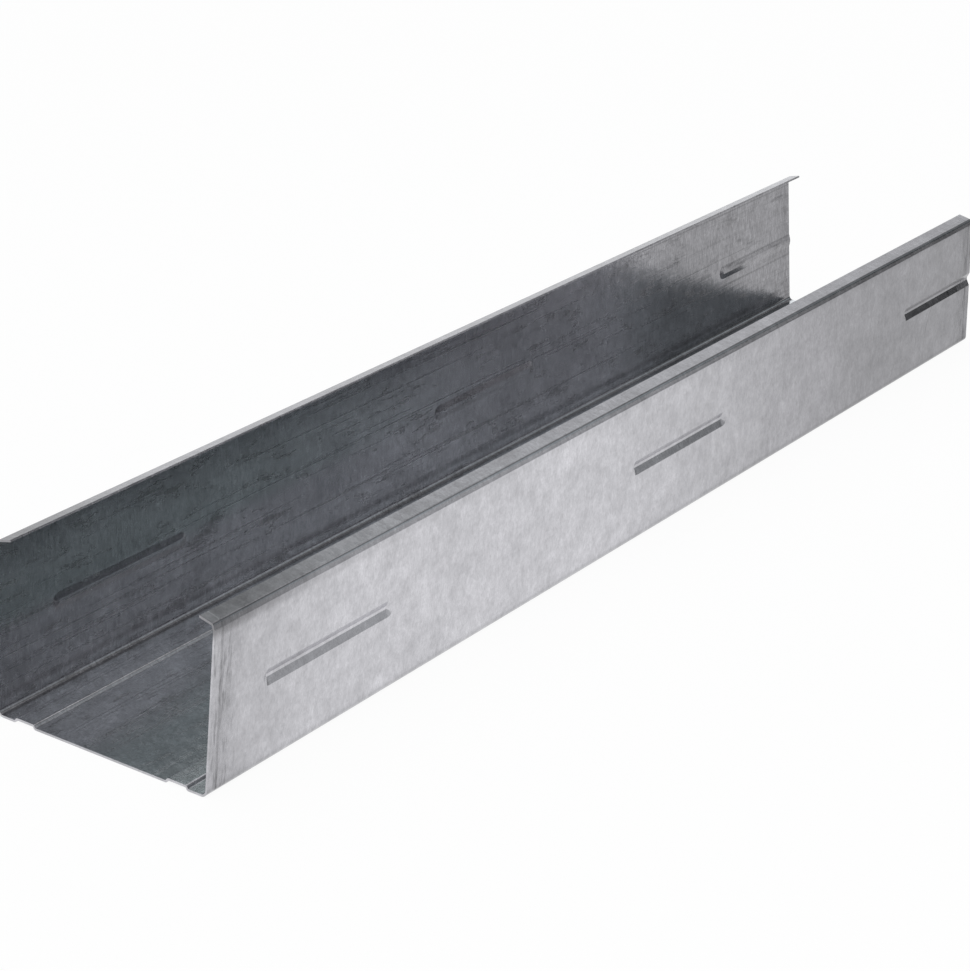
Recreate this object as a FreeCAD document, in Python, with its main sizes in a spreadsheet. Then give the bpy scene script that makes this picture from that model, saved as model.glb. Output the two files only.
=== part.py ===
import FreeCAD, Part
import math
import os

import Sketcher
from FreeCAD import Placement, Rotation, Vector

# A lipped steel channel, rolled from thin galvanised strip and lying on its web.
# X runs across the web, Y along the stock and Z up from the floor. X and Y are
# zero in the middle of the web, and Z is zero on its underside. The left flange
# is a little taller than the right one, so that two channels box together.

# Sizes in millimetres and degrees
SIZES = {
    "stock_length": 414,
    "web_width": 75,
    "right_flange_height": 44.8,
    "left_flange_height": 47.2,
    "right_flange_lean": 3.7,
    "left_flange_lean": 0.6,
    "sheet_thickness": 0.6,
    "corner_radius": 2,
    "brow_height": 1.8,
    "brow_lean": 19,
    "brow_bend_radius": 1.2,
    "lip_width": 4.6,
    "lip_rise": 12.5,
    "lip_bend_radius": 1,
    "rib_offset": 10.3,
    "rib_flat": 5.6,
    "rib_height": 0.75,
    "rib_slope": 52,
    "rib_bend_radius": 0.35,
    "bead_start": 20.4,
    "bead_length": 54,
    "bead_pitch": 172,
    "bead_width": 4.6,
    "bead_floor": 0.8,
    "right_bead_depth": 0.95,
    "left_bead_depth": 0.45,
    "bead_height": 23,
}

# Beads in the row along each flange; the last one runs out through the cut
BEAD_COUNT = 3

SIDES = ("right", "left")

# How the two ends of a sketch element and its centre are numbered
START, END, CENTRE = range(1, 4)
ORIGIN = -1
ACROSS_AXIS = -1

doc = FreeCAD.newDocument("channel_stock")


def derived_sizes():
    """Formulas for the sizes that follow from the ones above."""
    formulas = {
        "front_cut": "=-stock_length / 2",
        "foot_radius": "=rib_bend_radius + sheet_thickness",
        "bend_middle": "=web_width / 2 - corner_radius",
        "bead_wall": "=(bead_width - bead_floor) / 2",
    }
    for side in SIDES:
        lean = f"{side}_flange_lean"
        depth = f"{side}_bead_depth"
        slope = f"{side}_bead_slope"
        groove = f"{side}_groove_radius"
        formulas[slope] = f"=atan({depth} / bead_wall) / 1 deg"
        formulas[f"{side}_bead_draft"] = f"={slope} - 90"
        formulas[f"{side}_bead_reach"] = f"={depth} + sheet_thickness / 2"
        formulas[groove] = f"=bead_width / 2 + sheet_thickness / 2 * bead_wall / {depth}"
        formulas[f"{side}_bulge_radius"] = f"={groove} + sheet_thickness * tan({slope} / 2)"
        formulas[f"{side}_bead_face"] = (
            f"=bend_middle + (corner_radius + (bead_height - corner_radius) * sin({lean})) / cos({lean})")
    return formulas


def write_sheet():
    """Put every size in the spreadsheet under its own name."""
    sheet = doc.addObject("Spreadsheet::Sheet", "sizes")
    rows = list(SIZES.items()) + list(derived_sizes().items())
    for row, (name, value) in enumerate(rows, start=1):
        sheet.set(f"A{row}", name)
        sheet.set(f"B{row}", str(value))
        sheet.setAlias(f"B{row}", name)
    doc.recompute()
    return sheet


def measure(sketch, formula, start_value, *constraint):
    """Add a dimension to a sketch and drive it from the spreadsheet."""
    index = sketch.addConstraint(Sketcher.Constraint(*constraint, start_value))
    sketch.setExpression(f"Constraints[{index}]", formula)


def join(sketch, kind, *ends):
    """Tie sketch elements together without a size."""
    sketch.addConstraint(Sketcher.Constraint(kind, *ends))


def heading(here, there):
    """Direction from one point to another, in radians."""
    return math.atan2(there.y - here.y, there.x - here.x)


def along(direction):
    """Unit vector in a direction given in radians."""
    return Vector(math.cos(direction), math.sin(direction), 0)


def draw_bent_line(sketch, points, radii):
    """Draw straight lines through the points with a tangent arc at each inner point."""
    starts = [points[0]]
    ends = []
    arcs = []
    for before, corner, after, radius in zip(points, points[1:], points[2:], radii):
        arrive = heading(before, corner)
        turn = math.remainder(heading(corner, after) - arrive, 2 * math.pi)
        reach = radius * math.tan(abs(turn) / 2)
        side = math.copysign(math.pi / 2, turn)
        entry = corner - along(arrive) * reach
        centre = entry + along(arrive + side) * radius
        first, last = sorted((arrive - side, arrive - side + turn))
        circle = Part.Circle(centre, Vector(0, 0, 1), radius)
        arcs.append((Part.ArcOfCircle(circle, first, last), turn > 0))
        ends.append(entry)
        starts.append(corner + along(arrive + turn) * reach)
    ends.append(points[-1])
    lines = [sketch.addGeometry(Part.LineSegment(a, b), False) for a, b in zip(starts, ends)]
    bends = []
    for number, (arc, turns_left) in enumerate(arcs):
        bend = sketch.addGeometry(arc, False)
        entry_end, leaving_end = (START, END) if turns_left else (END, START)
        join(sketch, "Tangent", lines[number], END, bend, entry_end)
        join(sketch, "Tangent", bend, leaving_end, lines[number + 1], START)
        bends.append(bend)
    return lines, bends


def sharp_corner(sketch, first, second, place):
    """Mark the point where two lines would meet if no bend rounded them off."""
    corner = sketch.addGeometry(Part.Point(place), True)
    for line in (first, second):
        join(sketch, "PointOnObject", corner, START, line)
    return corner


def section_points(side):
    """Sharp corners of the outer skin, from the middle of the web to the free edge of the lip."""
    size = SIZES
    lean = math.radians(size[f"{side}_flange_lean"])
    slope = math.radians(size["rib_slope"])
    height = size[f"{side}_flange_height"]
    brow_foot = height - size["brow_height"]
    rib_middle = size["web_width"] / 2 - size["rib_offset"]
    half_top = size["rib_flat"] / 2 + size["rib_bend_radius"] * math.tan(slope / 2)
    half_foot = half_top + size["rib_height"] / math.tan(slope)
    bend_middle = size["web_width"] / 2 - size["corner_radius"]
    corner = bend_middle + size["corner_radius"] * (1 - math.sin(lean)) / math.cos(lean)
    brow = corner + brow_foot * math.tan(lean)
    top = brow - size["brow_height"] * math.tan(math.radians(size["brow_lean"]))
    lip_climb = size["lip_width"] * math.tan(math.radians(size["lip_rise"]))
    return [
        Vector(0, 0, 0),
        Vector(rib_middle - half_foot, 0, 0),
        Vector(rib_middle - half_top, size["rib_height"], 0),
        Vector(rib_middle + half_top, size["rib_height"], 0),
        Vector(rib_middle + half_foot, 0, 0),
        Vector(corner, 0, 0),
        Vector(brow, brow_foot, 0),
        Vector(top, height, 0),
        Vector(top - size["lip_width"], height + lip_climb, 0),
    ]


def half_section(side):
    """Outer skin of one half, drawn as a right half and sized from the spreadsheet."""
    size = SIZES
    foot_radius = size["rib_bend_radius"] + size["sheet_thickness"]
    shoulder_radius = size["rib_bend_radius"]
    radii = [foot_radius, shoulder_radius, shoulder_radius, foot_radius]
    radii += [size["corner_radius"], size["brow_bend_radius"], size["lip_bend_radius"]]
    points = section_points(side)
    sharp_brow, sharp_top = points[-3:-1]

    sketch = doc.addObject("Sketcher::SketchObject", f"{side}_section")
    sketch.Placement = Placement(Vector(0, 0, 0), Rotation(Vector(1, 0, 0), 90))
    sketch.setExpression(".Placement.Base.y", "sizes.front_cut")
    lines, bends = draw_bent_line(sketch, points, radii)
    web, rib_up, rib_top, rib_down, web_edge, flange, brow, lip = lines
    foot_in, shoulder_in, shoulder_out, foot_out, bottom_bend, brow_bend, lip_bend = bends

    # The web and the top of the rib lie level, and the web rests on the floor
    join(sketch, "Coincident", web, START, ORIGIN, START)
    for level in (web, rib_top, web_edge):
        join(sketch, "Horizontal", level)
    join(sketch, "PointOnObject", web_edge, END, ACROSS_AXIS)

    # The rib is the same on both of its sides
    measure(sketch, "sizes.rib_slope * 1 deg", math.radians(size["rib_slope"]), "Angle", rib_up)
    join(sketch, "Equal", rib_up, rib_down)
    for foot in (foot_in, foot_out):
        measure(sketch, "sizes.foot_radius", foot_radius, "Radius", foot)
    for shoulder in (shoulder_in, shoulder_out):
        measure(sketch, "sizes.rib_bend_radius", shoulder_radius, "Radius", shoulder)
    measure(sketch, "sizes.rib_flat", size["rib_flat"], "DistanceX", rib_top, START, rib_top, END)
    measure(sketch, "sizes.rib_height", size["rib_height"], "DistanceY", ORIGIN, START, rib_top, START)
    measure(sketch, "sizes.web_width / 2 - sizes.rib_offset - sizes.rib_flat / 2",
            size["web_width"] / 2 - size["rib_offset"] - size["rib_flat"] / 2,
            "DistanceX", ORIGIN, START, rib_top, START)

    # The bottom bend and the flange that leans out from it
    measure(sketch, "sizes.corner_radius", size["corner_radius"], "Radius", bottom_bend)
    measure(sketch, "sizes.bend_middle", size["web_width"] / 2 - size["corner_radius"],
            "DistanceX", ORIGIN, START, bottom_bend, CENTRE)
    measure(sketch, f"90 deg - sizes.{side}_flange_lean * 1 deg",
            math.radians(90 - size[f"{side}_flange_lean"]), "Angle", flange)

    # The brow under the lip, where the flange turns back in
    brow_foot = sharp_corner(sketch, flange, brow, sharp_brow)
    measure(sketch, "sizes.brow_bend_radius", size["brow_bend_radius"], "Radius", brow_bend)
    measure(sketch, f"sizes.{side}_flange_height - sizes.brow_height", sharp_brow.y,
            "DistanceY", ORIGIN, START, brow_foot, START)
    measure(sketch, "90 deg + sizes.brow_lean * 1 deg", math.radians(90 + size["brow_lean"]), "Angle", brow)

    # The lip, measured from the sharp corner that its bend rounds off
    tip = sharp_corner(sketch, brow, lip, sharp_top)
    measure(sketch, "sizes.lip_bend_radius", size["lip_bend_radius"], "Radius", lip_bend)
    measure(sketch, f"sizes.{side}_flange_height", sharp_top.y, "DistanceY", ORIGIN, START, tip, START)
    measure(sketch, "sizes.lip_width", size["lip_width"], "DistanceX", lip, END, tip, START)
    measure(sketch, "180 deg - sizes.lip_rise * 1 deg", math.radians(180 - size["lip_rise"]), "Angle", lip)
    return sketch


def half_stock(side):
    """One half of the plain channel, without beads."""
    sheet = doc.addObject("Part::Offset2D", f"{side}_sheet")
    sheet.Source = half_section(side)
    sheet.Mode = "Skin"
    sheet.Join = "Intersection"
    sheet.Fill = True
    sheet.setExpression("Value", "sizes.sheet_thickness")
    stock = doc.addObject("Part::Extrusion", f"{side}_stock")
    stock.Base = sheet
    stock.DirMode = "Custom"
    stock.Dir = Vector(0, 1, 0)
    stock.Solid = True
    stock.setExpression("LengthFwd", "sizes.stock_length")
    return stock


def bead_radius(side, kind):
    """End radius of a bead's tool, half a sheet outside the face that the tool presses."""
    size = SIZES
    depth = size[f"{side}_bead_depth"]
    wall = (size["bead_width"] - size["bead_floor"]) / 2
    radius = size["bead_width"] / 2 + size["sheet_thickness"] / 2 * wall / depth
    if kind == "bulge":
        radius += size["sheet_thickness"] * math.tan(math.atan2(depth, wall) / 2)
    return radius


def draw_bead(sketch, number, side, kind):
    """Round-ended outline of one bead, its middle line on the sketch's axis."""
    radius = bead_radius(side, kind)
    near = SIZES["bead_start"] + number * SIZES["bead_pitch"] + SIZES["bead_width"] / 2
    span = SIZES["bead_length"] - SIZES["bead_width"]
    far = near + span
    quarter = math.pi / 2
    normal = Vector(0, 0, 1)
    near_circle = Part.Circle(Vector(near, 0, 0), normal, radius)
    far_circle = Part.Circle(Vector(far, 0, 0), normal, radius)
    near_cap = sketch.addGeometry(Part.ArcOfCircle(near_circle, quarter, 3 * quarter), False)
    far_cap = sketch.addGeometry(Part.ArcOfCircle(far_circle, -quarter, quarter), False)
    lower = sketch.addGeometry(Part.LineSegment(Vector(near, -radius, 0), Vector(far, -radius, 0)), False)
    upper = sketch.addGeometry(Part.LineSegment(Vector(far, radius, 0), Vector(near, radius, 0)), False)
    around = (near_cap, lower, far_cap, upper)
    for here, following in zip(around, around[1:] + around[:1]):
        join(sketch, "Tangent", here, END, following, START)
    for cap in (near_cap, far_cap):
        join(sketch, "PointOnObject", cap, CENTRE, ACROSS_AXIS)
        measure(sketch, f"sizes.{side}_{kind}_radius", radius, "Radius", cap)
    measure(sketch, f"sizes.bead_start + {number} * sizes.bead_pitch + sizes.bead_width / 2",
            near, "DistanceX", ORIGIN, START, near_cap, CENTRE)
    measure(sketch, "sizes.bead_length - sizes.bead_width",
            span, "DistanceX", near_cap, CENTRE, far_cap, CENTRE)


def bead_tools(side, kind, level):
    """Tapered punches for one flange, drawn at a level of the sheet and turned to its lean."""
    outline = doc.addObject("Sketcher::SketchObject", f"{side}_{kind}_outline")
    lengthwise = Rotation(Vector(0, 1, 0), Vector(0, 0, 1), Vector(1, 0, 0), "XYZ")
    outline.Placement = Placement(Vector(0, 0, 0), lengthwise)
    outline.setExpression(".Placement.Base.x", level)
    for number in range(BEAD_COUNT):
        draw_bead(outline, number, side, kind)
    tools = doc.addObject("Part::Extrusion", f"{side}_{kind}_tools")
    tools.Base = outline
    tools.DirMode = "Custom"
    tools.Dir = Vector(-1, 0, 0)
    tools.Solid = True
    tools.Placement = Placement(Vector(0, 0, 0), Rotation(Vector(0, 1, 0), SIZES[f"{side}_flange_lean"]))
    tools.setExpression("LengthFwd", f"sizes.{side}_bead_reach")
    tools.setExpression("TaperAngle", f"sizes.{side}_bead_draft * 1 deg")
    tools.setExpression(".Placement.Rotation.Angle", f"sizes.{side}_flange_lean * 1 deg")
    tools.setExpression(".Placement.Base.x", f"sizes.{side}_bead_face")
    tools.setExpression(".Placement.Base.y", "sizes.front_cut")
    tools.setExpression(".Placement.Base.z", "sizes.bead_height")
    return tools


def stock_zone(side):
    """Block as long as the stock, which ends the last bulge at the cut."""
    zone = doc.addObject("Part::Box", f"{side}_zone")
    zone.setExpression("Length", "sizes.web_width")
    zone.setExpression("Width", "sizes.stock_length")
    zone.setExpression("Height", f"sizes.{side}_flange_height")
    zone.setExpression(".Placement.Base.y", "sizes.front_cut")
    return zone


def pressed_half(side):
    """Press the beads in: a bulge is added on the inner face and a groove taken from the outer one."""
    ridges = doc.addObject("Part::MultiCommon", f"{side}_ridges")
    ridges.Shapes = [bead_tools(side, "bulge", "-sizes.sheet_thickness / 2"), stock_zone(side)]
    raised = doc.addObject("Part::MultiFuse", f"{side}_raised")
    raised.Shapes = [half_stock(side), ridges]
    raised.Refine = True
    pressed = doc.addObject("Part::Cut", f"{side}_half")
    pressed.Base = raised
    pressed.Tool = bead_tools(side, "groove", "sizes.sheet_thickness / 2")
    return pressed


def whole_channel():
    """Both halves joined into one piece, the left one turned over the middle plane."""
    left = doc.addObject("Part::Mirroring", "left_half_turned")
    left.Source = pressed_half("left")
    left.Normal = Vector(1, 0, 0)
    channel = doc.addObject("Part::MultiFuse", "c_channel")
    channel.Shapes = [pressed_half("right"), left]
    channel.Refine = True
    channel.Label = "c_channel"
    channel.Placement = Placement()
    return channel


def check_document(channel):
    """Stop if any feature failed or holds a broken shape, or the channel is in pieces."""
    for feature in doc.Objects:
        if "Invalid" in feature.State or "Error" in feature.State:
            raise ValueError(f"{feature.Name} did not build: {feature.State}")
        shape = getattr(feature, "Shape", None)
        if shape is not None and (shape.isNull() or not shape.isValid()):
            raise ValueError(f"{feature.Name} has a broken shape")
    if len(channel.Shape.Solids) != 1:
        raise ValueError("the channel is not one solid")


write_sheet()
channel = whole_channel()
doc.recompute()
check_document(channel)

os.makedirs("parts", exist_ok=True)
channel.Shape.exportStep(f"parts/{channel.Label}.step")
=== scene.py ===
import math
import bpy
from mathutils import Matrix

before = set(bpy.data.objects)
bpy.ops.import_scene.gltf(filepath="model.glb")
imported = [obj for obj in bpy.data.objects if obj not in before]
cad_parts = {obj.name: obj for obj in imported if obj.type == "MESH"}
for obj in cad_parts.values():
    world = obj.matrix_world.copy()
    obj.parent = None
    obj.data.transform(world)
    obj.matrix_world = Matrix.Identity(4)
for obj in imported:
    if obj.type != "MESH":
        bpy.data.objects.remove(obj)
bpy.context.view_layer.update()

from types import SimpleNamespace

import bpy
from mathutils import Matrix, Vector

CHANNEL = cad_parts["c_channel"]

# The camera is level and its lens is lowered towards the channel, so that uprights stay upright
CAMERA_PLACE = Vector((0.54055, -0.76957, 0.37737))
CAMERA_TURN = 0.63625
LENS_DROP = 0.39664
FOCAL_PIXELS = 2968.9
PICTURE_PIXELS = 971
SENSOR_WIDTH = 36
VIEW_START = 0.01
VIEW_END = 50

# Floor and lamp, in metres and watts
FLOOR_SIZE = 12
FLOOR_COLOUR = (0.93, 0.93, 0.93, 1)
FLOOR_SEEN_WHITE = 0.94
LAMP_PLACE = (0.6, -0.6, 2.2)
LAMP_TARGET = (0, 0.1, 0)
LAMP_SIZE = 2.0
LAMP_POWER = 21

# Directions from the channel to the studio's soft lights and to its dark corner
BESIDE = (0.5, 0.8, 0.38)
PANEL = (-0.33, 0.76, 0.56)
GLOW = (-0.4, 0.8, 0.3)
DARK_CORNER = (0.5, 0.86, 0.17)

# The channel's measures that its finish follows, in metres
CUT_END = 0.207
SHEAR_CREASE = 0.0031
FLANGE_FACE = 0.037
LIP_LEVEL = 0.043
INNER_EDGE = 0.03

# Where the left flange and its bend begin and are reached in full, going left, for the painted shade on them
LEFT_FLANGE = (-0.034, -0.036)
LEFT_BEND = (-0.0342, -0.0354)

# Where each mark begins and ends, along the length; the last three are painted shade
FRONT_DARKER_LENGTH = (-0.207, -0.14)
LEFT_SHADE_LENGTH = (-0.12, 0.02)
OUTER_FAR_SHADE = (-0.06, 0.16)
INNER_FAR_SHADE = (0.08, 0.13)

# Where each mark begins and ends, up from the floor or in from the cut; the first three are painted shade
LEFT_SHADE_HEIGHT = (0.02, 0.027)
FOOT_HEIGHT = (0.0014, 0.003)
BEND_HEIGHT = (0.002, 0.0034)
END_GRIME = (0.003, 0.014)

# A long thin scratch below the last bead: middle and radius of its arc, and where it starts and ends
SCRATCH_MIDDLE = (0.1888, 0.0102)
SCRATCH_RADIUS = 0.0146
SCRATCH_TOP = 0.0205
SCRATCH_FOOT = 0.0105

# How far each texture varies the zinc's tone, and how far each mark lightens or darkens it, painted light and
# shade among the marks
TEXTURE_TONES = {"drips": 0.42, "clouds": 0.4, "patches": 0.36, "grain": 0.5}
MARK_TONES = {
    "streaks": 1.5, "marks": -0.3, "strip": 0.08, "crease": -0.25, "cut": 0.1, "grime": -0.4, "darker_front": -0.5,
    "scratch": -0.3, "foot": -0.2, "face": 0.05, "brow": -0.07, "far_end_shade": -0.5, "bend": -0.2,
}

# What each layer adds to the zinc's roughness and to its fine relief
SMOOTHEST = 0.12
ROUGHNESSES = {"clouds": 0.1, "shade": 0.04, "marks": 0.15, "cut": 0.25, "grime": 0.2}
RELIEFS = {"grain": 0.22, "drips": 0.3, "lines": 0.4, "strip": 0.6, "crease": -0.6, "patches": 0.8}
RELIEF_DEPTH = 0.0002

ZINC = Vector((0.54, 0.537, 0.565))
# Colour of the zinc in the painted shade on the left flange's top
SHADED_LEFT_ZINC = Vector((0.43, 0.47, 0.475))
PLAIN_WHITE = Vector((0.99, 1.0, 1.01))
COOL_WHITE = Vector((0.9, 1.0, 1.03))
COOL_GREEN = Vector((0.88, 1.0, 0.98))


def put(tree, made, name, value):
    """Set one input of a node, or link an output to it."""
    socket = made.inputs[name]
    if isinstance(value, bpy.types.NodeSocket):
        tree.links.new(value, socket)
    else:
        socket.default_value = value


def node(tree, kind, **inputs):
    """Add a shader node and set its inputs by name; a socket given is linked."""
    made = tree.nodes.new(kind)
    for name, value in inputs.items():
        put(tree, made, name.replace("_", " "), value)
    return made


def math_node(tree, operation, *values):
    """Arithmetic on plain numbers or outputs."""
    made = tree.nodes.new("ShaderNodeMath")
    made.operation = operation
    for index, value in enumerate(values):
        put(tree, made, index, value)
    return made.outputs[0]


def vector_node(tree, operation, *values):
    """Arithmetic on vectors."""
    made = tree.nodes.new("ShaderNodeVectorMath")
    made.operation = operation
    for index, value in enumerate(values):
        put(tree, made, index, value)
    return made


def smooth_step(tree, value, low, high, to_low=0.0, to_high=1.0):
    """Ease from one number to another as a value goes from low to high."""
    made = node(tree, "ShaderNodeMapRange", Value=value)
    made.interpolation_type = "SMOOTHSTEP"
    for name, number in (("From Min", low), ("From Max", high), ("To Min", to_low), ("To Max", to_high)):
        made.inputs[name].default_value = number
    return made.outputs[0]


def fade(tree, value, low, high):
    """Ease from one down to nothing as a value goes from low to high."""
    return smooth_step(tree, value, low, high, 1.0, 0.0)


def magnitude(tree, value):
    """A value without its sign."""
    return math_node(tree, "ABSOLUTE", value)


def product(tree, *values):
    """All the values multiplied together."""
    result = values[0]
    for value in values[1:]:
        result = math_node(tree, "MULTIPLY", result, value)
    return result


def total(tree, start, *parts):
    """A value with weighted outputs added to it, each part an output and its weight."""
    result = start
    for source, weight in parts:
        result = math_node(tree, "MULTIPLY_ADD", source, weight, result)
    return result


def rest_of(tree, mask, share=1.0):
    """What a mask leaves, where it takes away a share."""
    return total(tree, 1.0, (mask, -share))


def noise(tree, place, scales, detail=3.0, roughness=0.6):
    """Cloudy noise around one half, with its own scale along each axis."""
    stretched = vector_node(tree, "MULTIPLY", place, scales).outputs[0]
    made = node(tree, "ShaderNodeTexNoise", Vector=stretched, Scale=1.0, Detail=detail, Roughness=roughness)
    return made.outputs[0]


def toward(tree, direction, aim):
    """Cosine of the angle between a direction and an aim."""
    return vector_node(tree, "DOT_PRODUCT", direction, Vector(aim).normalized()).outputs["Value"]


def make_camera():
    """Level camera on a mount that slants its view down without tilting it."""
    mount = bpy.data.objects.new("camera_mount", None)
    mount.location = CAMERA_PLACE
    mount.rotation_euler = (math.pi / 2, 0, CAMERA_TURN)
    bpy.context.scene.collection.objects.link(mount)
    data = bpy.data.cameras.new("camera")
    slant = Matrix.Identity(4)
    slant[1][2] = LENS_DROP
    lengthening = math.hypot(1, LENS_DROP)
    data.sensor_width = SENSOR_WIDTH
    data.lens = data.sensor_width * FOCAL_PIXELS * lengthening / PICTURE_PIXELS
    data.clip_start = VIEW_START
    data.clip_end = VIEW_END
    camera = bpy.data.objects.new("camera", data)
    bpy.context.scene.collection.objects.link(camera)
    camera.parent = mount
    camera.matrix_parent_inverse = slant
    bpy.context.scene.camera = camera


def make_floor():
    """Plain white floor, which the camera and the zinc both see as white."""
    bpy.ops.mesh.primitive_plane_add(size=FLOOR_SIZE, location=(0, 0, 0))
    floor = bpy.context.object
    floor.name = "floor"
    material = bpy.data.materials.new("floor")
    material.use_nodes = True
    tree = material.node_tree
    shader = tree.nodes["Principled BSDF"]
    shader.inputs["Base Color"].default_value = FLOOR_COLOUR
    shader.inputs["Roughness"].default_value = 0.9
    shader.inputs["Specular IOR Level"].default_value = 0.2
    path = node(tree, "ShaderNodeLightPath")
    seen = math_node(tree, "MAXIMUM", path.outputs["Is Camera Ray"], path.outputs["Is Glossy Ray"])
    seen = math_node(tree, "MAXIMUM", seen, path.outputs["Is Transmission Ray"])
    white = node(tree, "ShaderNodeEmission", Color=(1, 1, 1, 1), Strength=1.0)
    mix = node(tree, "ShaderNodeMixShader", Fac=product(tree, seen, FLOOR_SEEN_WHITE))
    tree.links.new(shader.outputs[0], mix.inputs[1])
    tree.links.new(white.outputs[0], mix.inputs[2])
    tree.links.new(mix.outputs[0], tree.nodes["Material Output"].inputs["Surface"])
    floor.data.materials.append(material)


def make_lamp(name, place, target, size, power):
    """Soft square lamp turned to a point."""
    data = bpy.data.lights.new(name, "AREA")
    data.shape = "SQUARE"
    data.size = size
    data.energy = power
    lamp = bpy.data.objects.new(name, data)
    lamp.location = place
    lamp.rotation_euler = (Vector(target) - Vector(place)).to_track_quat("-Z", "Y").to_euler()
    bpy.context.scene.collection.objects.link(lamp)


def make_world():
    """Dim studio with a bright ceiling, soft panels and a dark corner, the same for every ray."""
    world = bpy.data.worlds.new("studio")
    bpy.context.scene.world = world
    world.use_nodes = True
    tree = world.node_tree
    tree.nodes.clear()
    direction = node(tree, "ShaderNodeTexCoord").outputs["Generated"]
    parts = node(tree, "ShaderNodeSeparateXYZ", Vector=direction)
    rightward = math_node(tree, "MAXIMUM", parts.outputs["X"], 0.0)
    ceiling = smooth_step(tree, total(tree, parts.outputs["Z"], (rightward, -0.8)), 0.62, 0.77, 0.2, 1.1)
    side = smooth_step(tree, parts.outputs["X"], 0.5, 0.75, 0.0, 0.36)
    beside = smooth_step(tree, toward(tree, direction, BESIDE), 0.94, 0.995)
    panel = smooth_step(tree, toward(tree, direction, PANEL), 0.987, 1.0)
    glow = smooth_step(tree, toward(tree, direction, GLOW), 0.955, 0.985, 0.0, 0.54)
    leftward = smooth_step(tree, parts.outputs["X"], -0.35, -0.5)
    raised = smooth_step(tree, parts.outputs["Z"], 0.25, 0.45)
    band = smooth_step(tree, parts.outputs["Z"], 0.12, 0.25, 0.45, 1.0)
    behind = product(tree, leftward, rest_of(tree, raised), band)
    above = product(tree, leftward, raised, smooth_step(tree, parts.outputs["Y"], 0.3, 0.55))
    corner = smooth_step(tree, toward(tree, direction, DARK_CORNER), 0.989, 0.997, 1.0, 0.03)
    level = total(tree, ceiling, (side, 1.0), (beside, 0.24), (panel, 0.24), (glow, 1.0), (behind, 1.0),
                  (above, 0.3))
    tint = vector_node(tree, "MULTIPLY_ADD", above, COOL_GREEN - PLAIN_WHITE, PLAIN_WHITE).outputs[0]
    tint = vector_node(tree, "MULTIPLY_ADD", beside, COOL_WHITE - PLAIN_WHITE, tint).outputs[0]
    light = node(tree, "ShaderNodeBackground", Color=tint, Strength=product(tree, level, corner))
    out = node(tree, "ShaderNodeOutputWorld")
    tree.links.new(light.outputs[0], out.inputs["Surface"])


def places(tree):
    """Where a point of the channel is and which way it faces, with masks of the main faces."""
    spot = node(tree, "ShaderNodeTexCoord")
    at = node(tree, "ShaderNodeSeparateXYZ", Vector=spot.outputs["Object"]).outputs
    facing = node(tree, "ShaderNodeSeparateXYZ", Vector=spot.outputs["Normal"]).outputs

    # Inside are the faces that look towards the middle of the channel
    away = product(tree, at["X"], facing["X"])
    upward = product(tree, math_node(tree, "SUBTRACT", 0.02, at["Z"]), facing["Z"])
    inside = smooth_step(tree, math_node(tree, "SUBTRACT", upward, away), 0.0, 0.01)
    return SimpleNamespace(
        place=spot.outputs["Object"],
        at=at,
        facing=facing,
        inside=inside,
        outside=rest_of(tree, inside, 0.8),
        right=smooth_step(tree, at["X"], FLANGE_FACE - 0.003, FLANGE_FACE - 0.001),
        upright=smooth_step(tree, magnitude(tree, facing["X"]), 0.8, 0.95),
    )


def scratch_mask(tree, on):
    """Thin arc on the right flange's outer face, just below its last bead."""
    flat = vector_node(tree, "MULTIPLY", on.place, (0, 1, 1)).outputs[0]
    middle = Vector((0, *SCRATCH_MIDDLE))
    away = vector_node(tree, "DISTANCE", flat, middle).outputs["Value"]
    off = magnitude(tree, math_node(tree, "SUBTRACT", away, SCRATCH_RADIUS))
    nearer = math_node(tree, "LESS_THAN", on.at["Y"], SCRATCH_MIDDLE[0])
    below = math_node(tree, "LESS_THAN", on.at["Z"], SCRATCH_TOP)
    above = math_node(tree, "GREATER_THAN", on.at["Z"], SCRATCH_FOOT)
    outward = smooth_step(tree, on.facing["X"], 0.0, 0.4)
    return product(tree, fade(tree, off, 0.00008, 0.00028), nearer, below, above, on.right, outward)


def zinc_textures(tree, on):
    """Crystals of zinc, drips of the bath that ran across the strip, its grain, roller lines and scuffs."""
    cells = vector_node(tree, "MULTIPLY", on.place, (330, 480, 300)).outputs[0]
    crystals = node(tree, "ShaderNodeTexVoronoi", Vector=cells, Scale=1.0)
    streaks = noise(tree, on.place, (900, 2400, 420), roughness=0.7)
    lines = noise(tree, on.place, (900, 5, 900), roughness=0.7)
    dark_lines = smooth_step(tree, lines, 0.53, 0.66)
    scuffs = smooth_step(tree, noise(tree, on.place, (260, 60, 260), detail=5, roughness=0.7), 0.52, 0.7)
    marks = math_node(tree, "MAXIMUM", product(tree, dark_lines, 0.7), scuffs)
    return {
        "shade": node(tree, "ShaderNodeSeparateColor", Color=crystals.outputs["Color"]).outputs["Red"],
        "drips": noise(tree, on.place, (380, 620, 380)),
        "clouds": noise(tree, on.place, (60, 60, 60), detail=4),
        "patches": noise(tree, on.place, (160, 130, 160), detail=2),
        "grain": noise(tree, on.place, (1500, 2000, 1000), roughness=0.65),
        "streaks": product(tree, total(tree, -0.5, (streaks, 1.0)), on.inside),
        "lines": lines,
        "marks": product(tree, marks, total(tree, 0.12, (on.inside, 0.88))),
    }


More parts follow.
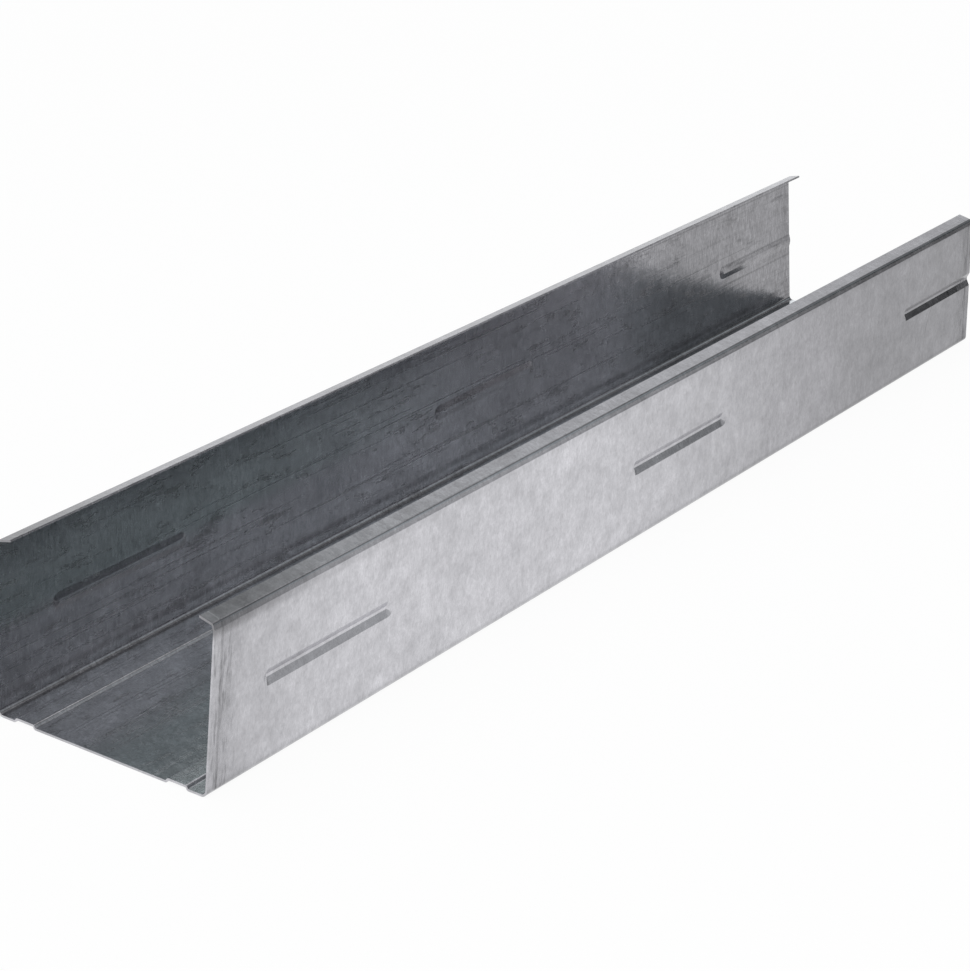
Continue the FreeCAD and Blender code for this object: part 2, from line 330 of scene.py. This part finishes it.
def shear_marks(tree, on):
    """The narrow strip that the shear bent at each end, its crease with painted shade along it, the bare cut
    and the grime beside it.
    """
    from_end = math_node(tree, "SUBTRACT", CUT_END, magnitude(tree, on.at["Y"]))
    off_crease = magnitude(tree, math_node(tree, "SUBTRACT", from_end, SHEAR_CREASE))
    strip = fade(tree, from_end, SHEAR_CREASE - 0.0003, SHEAR_CREASE + 0.0002)
    smears = smooth_step(tree, noise(tree, on.place, (420, 900, 150)), 0.5, 0.66)
    grime = product(tree, total(tree, 0.35, (smears, 0.65)), fade(tree, from_end, *END_GRIME))
    return {
        "strip": product(tree, strip, on.outside),
        # The crease is darkened with painted shade, besides its dent in the relief
        "crease": product(tree, on.upright, on.outside, fade(tree, off_crease, 0.0001, 0.0008)),
        "cut": smooth_step(tree, magnitude(tree, on.facing["Y"]), 0.85, 0.98),
        "grime": product(tree, grime, on.upright, on.outside),
    }


def wear_and_painted_shade(tree, on):
    """Darker zinc towards the front, painted shade at the flanges' outer feet, in the left bend, on the left
    flange's top, at the right lip and towards the far ends, painted light on the right flange's outer face,
    and a scratch.
    """
    lip_level = smooth_step(tree, on.at["Z"], LIP_LEVEL - 0.003, LIP_LEVEL)
    # Darker towards the front end, most at the lip's height
    front_darker = product(tree, total(tree, 0.3, (lip_level, 0.7)), fade(tree, on.at["Y"], *FRONT_DARKER_LENGTH))
    turned = smooth_step(tree, magnitude(tree, on.facing["X"]), 0.2, 0.6)
    # Painted shade on the outer bends at the foot of each flange, where they meet the floor
    foot = product(tree, turned, rest_of(tree, on.inside), fade(tree, on.at["Z"], *FOOT_HEIGHT))
    # Painted shade in the inner bend between the web and the left flange
    bend = product(tree, smooth_step(tree, on.at["X"], *LEFT_BEND), fade(tree, on.at["Z"], *BEND_HEIGHT))
    # Painted shade, darker and greener, on the top of the left flange's inner face towards the front
    left_top_shade = product(tree, smooth_step(tree, on.at["X"], *LEFT_FLANGE),
                   smooth_step(tree, on.at["Z"], *LEFT_SHADE_HEIGHT),
                   fade(tree, on.at["Y"], *LEFT_SHADE_LENGTH))

    # The right flange's outer face gets a little painted light, and painted shade towards the far end over a
    # longer stretch than the inner faces
    face = product(tree, on.right, smooth_step(tree, on.facing["X"], 0.5, 0.8))
    outer = product(tree, face, smooth_step(tree, on.at["Y"], *OUTER_FAR_SHADE))
    inner = product(tree, on.inside, on.upright, smooth_step(tree, on.at["Y"], *INNER_FAR_SHADE),
                    smooth_step(tree, on.at["X"], -INNER_EDGE, INNER_EDGE, 1.0, 0.78))
    return {
        "darker_front": product(tree, front_darker, on.outside),
        "foot": foot,
        "bend": product(tree, bend, on.inside),
        "left_top_shade": product(tree, left_top_shade, on.inside),
        # Painted light on the right flange's outer face
        "face": face,
        # Painted shade on the right flange's lip and the top of its face
        "brow": product(tree, on.right, lip_level),
        # Painted shade towards the far end, on the right flange's outer face and on the upright inner faces
        "far_end_shade": math_node(tree, "MAXIMUM", outer, inner),
        "scratch": scratch_mask(tree, on),
    }


def make_zinc():
    """Dull galvanised zinc, with its textures, the marks of the shear, a scratch, and painted light and
    shade.
    """
    material = bpy.data.materials.new("zinc")
    material.use_nodes = True
    tree = material.node_tree
    shader = tree.nodes["Principled BSDF"]
    on = places(tree)
    layers = {**zinc_textures(tree, on), **shear_marks(tree, on), **wear_and_painted_shade(tree, on)}

    tone = total(tree, 0.96, (layers["shade"], 0.08))
    for name, weight in TEXTURE_TONES.items():
        tone = product(tree, tone, total(tree, 1 - weight / 2, (layers[name], weight)))
    for name, weight in MARK_TONES.items():
        tone = product(tree, tone, total(tree, 1.0, (layers[name], weight)))
    colour = tree.nodes.new("ShaderNodeVectorMath")
    colour.operation = "SCALE"
    # The painted shade on the left flange's top also turns the colour darker and greener
    shaded_left_colour = vector_node(tree, "MULTIPLY_ADD", layers["left_top_shade"], SHADED_LEFT_ZINC - ZINC, ZINC)
    put(tree, colour, 0, shaded_left_colour.outputs[0])
    put(tree, colour, "Scale", tone)
    put(tree, shader, "Base Color", colour.outputs[0])
    shader.inputs["Metallic"].default_value = 1

    rough = total(tree, SMOOTHEST, *((layers[name], weight) for name, weight in ROUGHNESSES.items()))
    put(tree, shader, "Roughness", rough)

    height = total(tree, 0.0, *((layers[name], weight) for name, weight in RELIEFS.items()))
    bump = node(tree, "ShaderNodeBump", Strength=0.25, Distance=RELIEF_DEPTH, Height=height)
    put(tree, shader, "Normal", bump.outputs[0])
    return material


def paint_channel():
    """Give the channel its zinc."""
    CHANNEL.data.materials.clear()
    CHANNEL.data.materials.append(make_zinc())


make_camera()
make_floor()
make_world()
make_lamp("overhead", LAMP_PLACE, LAMP_TARGET, LAMP_SIZE, LAMP_POWER)
paint_channel()
bpy.context.scene.view_settings.view_transform = "Standard"
